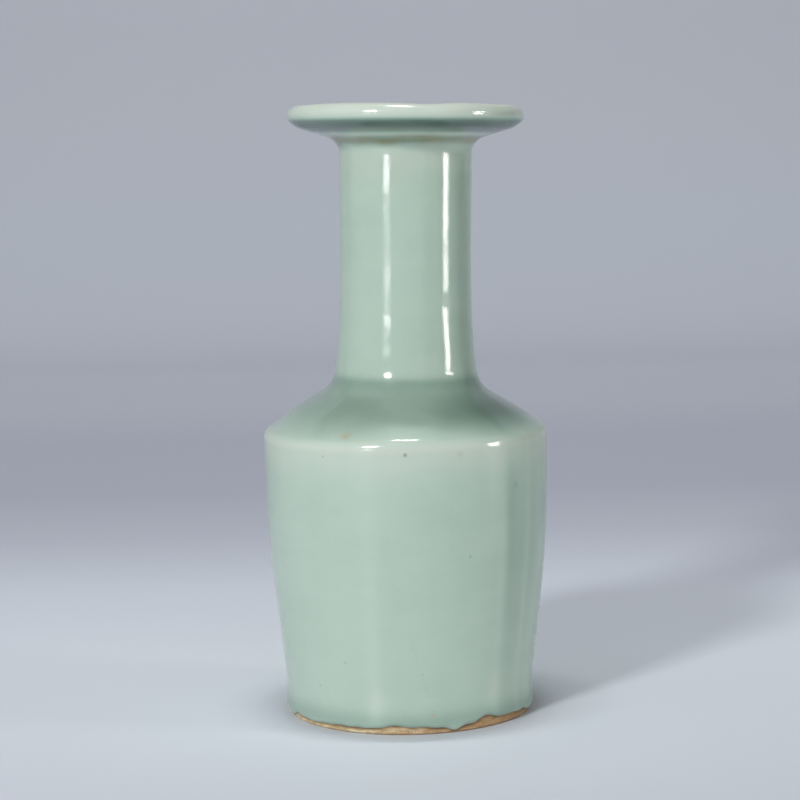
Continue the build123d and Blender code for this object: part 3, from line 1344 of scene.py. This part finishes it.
    def _inside(self) -> bpy.types.Object:
        """Coat over the dish, the bore, the inner wall and the floor.

        The section starts in the middle of the floor on the clay, runs up to the crest of the lip, and
        comes back along the skin.
        """
        shape = self.wheel.shape
        line = shape.inside.line()
        coarse = shape.inside.coarse_line()
        skin = line.length[:, None]
        back = coarse.length[::-1][:, None]
        free = eased(skin, *self.crest_fade) * eased(line.length[-1] - skin, *self.floor_fade)
        uneven = self.unevenness.at(self.wheel.azimuth, skin) * free
        pool = summed(self.inside_pools, line.at(skin)[1])
        parts = [coarse.at(back, -shape.glaze), line.at(skin, uneven)]
        cool = [NOTHING, NOTHING]
        coat = self.wheel.piece("inner_glaze", parts, poles=True, pool=[NOTHING, pool], warm=cool)
        self.finish.paint("celadon_inside").dress(coat, self.finish.slot)
        return coat

    def _base(self) -> bpy.types.Object:
        """Coat in the recess under the foot, from its middle to its rolled edge on the foot ring.

        The section starts in the middle on the skin and comes back on the clay. The coat is a little
        pooled all over, and more in the corner of the recess, as a bell curve.
        """
        shape = self.wheel.shape
        line = shape.recess.line()
        end = line.length_at(self.base_level)
        roll = 2 * end - self._roll_rows(end)[::-1]
        skin = np.concatenate([line.rows(0.0, end - self.roll), roll])[:, None]
        back = line.rows(0.0, end)[-2::-1][:, None]
        off = self._thickness(end - skin) - shape.glaze
        free = eased(skin, *self.recess_fade) * eased(end - skin, *self.recess_edge_fade)
        off = off + self.unevenness.at(self.wheel.azimuth, skin) * free
        from_corner = skin - line.length_at(self.recess_corner_height)
        pool = self.recess_corner_pool * np.exp(-((from_corner / self.recess_corner_reach) ** 2))
        pool = [self.recess_pool + pool, NOTHING]
        parts = [line.at(skin, off), line.at(back, -shape.glaze)]
        cool = [NOTHING, NOTHING]
        coat = self.wheel.piece("base_glaze", parts, poles=True, pool=pool, warm=cool)
        self.finish.paint("celadon_base").dress(coat, self.finish.slot)
        return coat


# Studio

WHITE = (1.0, 1.0, 1.0)
WARM_WHITE = (1.0, 0.98, 0.93)


@dataclass(frozen=True)
class Lamp:
    """Soft rectangular lamp that faces the vase. Its azimuth is in degrees and its colour is a tint."""

    name: str
    azimuth: float
    distance: float
    height: float
    width: float
    tall: float
    radiance: float
    tint: tuple[float, float, float] = WHITE

    def light(self, aim: float) -> bpy.types.Object:
        """Make the lamp. Its power is its radiance times its area times pi.

        Args:
            aim: Height on the axis that it faces.

        Returns:
            The lamp's object.
        """
        data = bpy.data.lights.new(self.name, "AREA")
        data.shape = "RECTANGLE"
        data.size = self.width
        data.size_y = self.tall
        data.color = self.tint
        data.energy = self.radiance * self.width * self.tall * math.pi
        lamp = bpy.data.objects.new(self.name, data)
        turn = math.radians(self.azimuth)
        place = Vector((math.sin(turn) * self.distance, -math.cos(turn) * self.distance, self.height))
        lamp.location = place
        lamp.rotation_euler = (place - Vector((0, 0, aim))).to_track_quat("Z", "Y").to_euler()
        lamp.visible_camera = False
        bpy.context.scene.collection.objects.link(lamp)
        return lamp


@dataclass(frozen=True)
class Studio:
    """Pale floor that sweeps up into a blue-grey backdrop, soft lamps, and the camera.

    The paper's colour goes by how far back a place lies, with the fall of light painted in: a painted
    darker band on the floor behind the vase, and brighter paper in front of that band and behind it.
    """

    # Painted light falloff: darker and brighter bands of paper by depth.
    paper_and_painted_falloff: tuple[tuple[float, Colour], ...] = (
        (-0.10, srgb(212, 218, 227)),
        (0.06, srgb(229, 236, 244)),
        (0.18, srgb(226, 233, 243)),
        (0.30, srgb(206, 212, 224)),
        (0.42, srgb(200, 204, 218)),
        (0.62, srgb(211, 215, 230)),
        (0.80, srgb(228, 234, 245)),
        (1.00, srgb(238, 243, 252)),
        (1.25, srgb(237, 243, 252)),
        (1.40, srgb(231, 238, 247)),
        (1.55, srgb(223, 227, 236)),
    )
    half_width: float = 2.2
    floor_front: float = -2.0
    floor_back: float = 1.1
    sweep_radius: float = 0.5
    wall_height: float = 1.8
    paper_roughness: float = 0.6
    floor_rows: int = 32
    sweep_rows: int = 25
    wall_rows: int = 12
    paper_columns: int = 24
    air_bright: Colour = srgb(164, 165, 168)
    air_dim: Colour = srgb(58, 57, 54)
    air_azimuth: float = -30.0
    air_fade: tuple[float, float] = (-0.3, 0.5)
    lens: float = 100.7
    camera_distance: float = 634.7 * MM
    camera_height: float = 157.7 * MM
    camera_across: float = -1.7 * MM
    pitch: float = math.radians(6.2)
    roll: float = math.radians(-1.25)
    aim: float = 0.12
    lamps: tuple[Lamp, ...] = (
        Lamp("key_softbox", -33.0, 1.15, 0.66, 0.18, 0.18, 86.0),
        Lamp("left_low_lamp", -33.0, 1.2, 0.150, 0.28, 0.030, 26.0),
        Lamp("left_panel", -33.0, 1.3, 0.09, 0.20, 0.08, 0.9),
        Lamp("right_strip", 73.5, 1.2, 0.199, 0.17, 0.326, 13.5, WARM_WHITE),
        Lamp("right_softbox", 76.0, 1.2, 0.46, 0.24, 0.10, 17.0, WARM_WHITE),
        Lamp("top_softbox", 0.0, 0.02, 1.0, 0.20, 0.028, 145.0),
    )

    def build(self) -> None:
        """Build the stage, the lamps, the world and the camera."""
        self._stage()
        for lamp in self.lamps:
            lamp.light(self.aim)
        self._world()
        self._camera()

    def _stage(self) -> None:
        """Floor and backdrop in one sheet.

        Its profile is a level run, a quarter circle and an upright run, carried straight across.
        """
        turn = np.linspace(0.0, math.pi / 2, self.sweep_rows)
        flat = np.linspace(self.floor_front, self.floor_back, self.floor_rows)[:-1]
        rise = np.linspace(self.sweep_radius, self.wall_height, self.wall_rows)[1:]
        sweep = self.floor_back + self.sweep_radius * np.sin(turn)
        depth = np.concatenate([flat, sweep, np.full(len(rise), sweep[-1])])
        height = np.concatenate([np.zeros(len(flat)), self.sweep_radius * (1 - np.cos(turn)), rise])
        across = np.linspace(-self.half_width, self.half_width, self.paper_columns)
        grid = np.stack(np.broadcast_arrays(across, depth[:, None], height[:, None]), axis=-1)
        index = np.arange(grid.shape[0] * grid.shape[1]).reshape(grid.shape[:2])
        faces = np.stack([index[:-1, :-1], index[:-1, 1:], index[1:, 1:], index[1:, :-1]], axis=-1)
        mesh = bpy.data.meshes.new("floor_and_backdrop")
        mesh.from_pydata(grid.reshape(-1, 3).tolist(), [], faces.reshape(-1, 4).tolist())
        mesh.shade_smooth()
        stage = bpy.data.objects.new("floor_and_backdrop", mesh)
        bpy.context.scene.collection.objects.link(stage)
        paint = Paint("backdrop_paper")
        place = paint.add("ShaderNodeSeparateXYZ", {}, {0: paint.place})
        paint.feed("Base Color", paint.ramp(Term(paint, place.outputs["Y"]), self.paper_and_painted_falloff))
        paint.feed("Roughness", self.paper_roughness)
        paint.dress(stage)

    def _world(self) -> None:
        """Pale light from all round, brighter from the front left than from the back right."""
        world = bpy.data.worlds.new("studio_air")
        world.use_nodes = True
        air = Nodes(world.node_tree)
        direction = air.add("ShaderNodeTexCoord").outputs["Generated"]
        share = air.toward(direction, self.air_azimuth).eased(*self.air_fade)
        colour = air.mixed(share, self.air_dim, self.air_bright)
        glow = air.add("ShaderNodeBackground", {}, {"Color": colour}).outputs["Background"]
        air.add("ShaderNodeOutputWorld", {}, {"Surface": glow})
        bpy.context.scene.world = world

    def _camera(self) -> None:
        """Camera in front of the vase, pitched down and rolled a little as the photographed one was."""
        data = bpy.data.cameras.new("camera")
        data.lens = self.lens
        camera = bpy.data.objects.new("camera", data)
        place = Matrix.Translation((self.camera_across, -self.camera_distance, self.camera_height))
        tip = Matrix.Rotation(math.pi / 2 - self.pitch, 4, "X")
        camera.matrix_world = place @ tip @ Matrix.Rotation(self.roll, 4, "Z")
        bpy.context.scene.collection.objects.link(camera)
        bpy.context.scene.camera = camera
        bpy.context.scene.view_settings.view_transform = "Standard"


def main() -> None:
    """Build the vase piece by piece, and then the studio round it."""
    logging.basicConfig(level=logging.INFO, format="%(message)s")
    wheel = Wheel()
    edge = GlazeEdge()
    pieces = ClayPieces(wheel, edge).build() + GlazeCoats(wheel, edge).build()
    Studio().build()
    for piece in pieces:
        log.info("%s has %d faces", piece.name, len(piece.data.polygons))


if __name__ == "__main__":
    main()
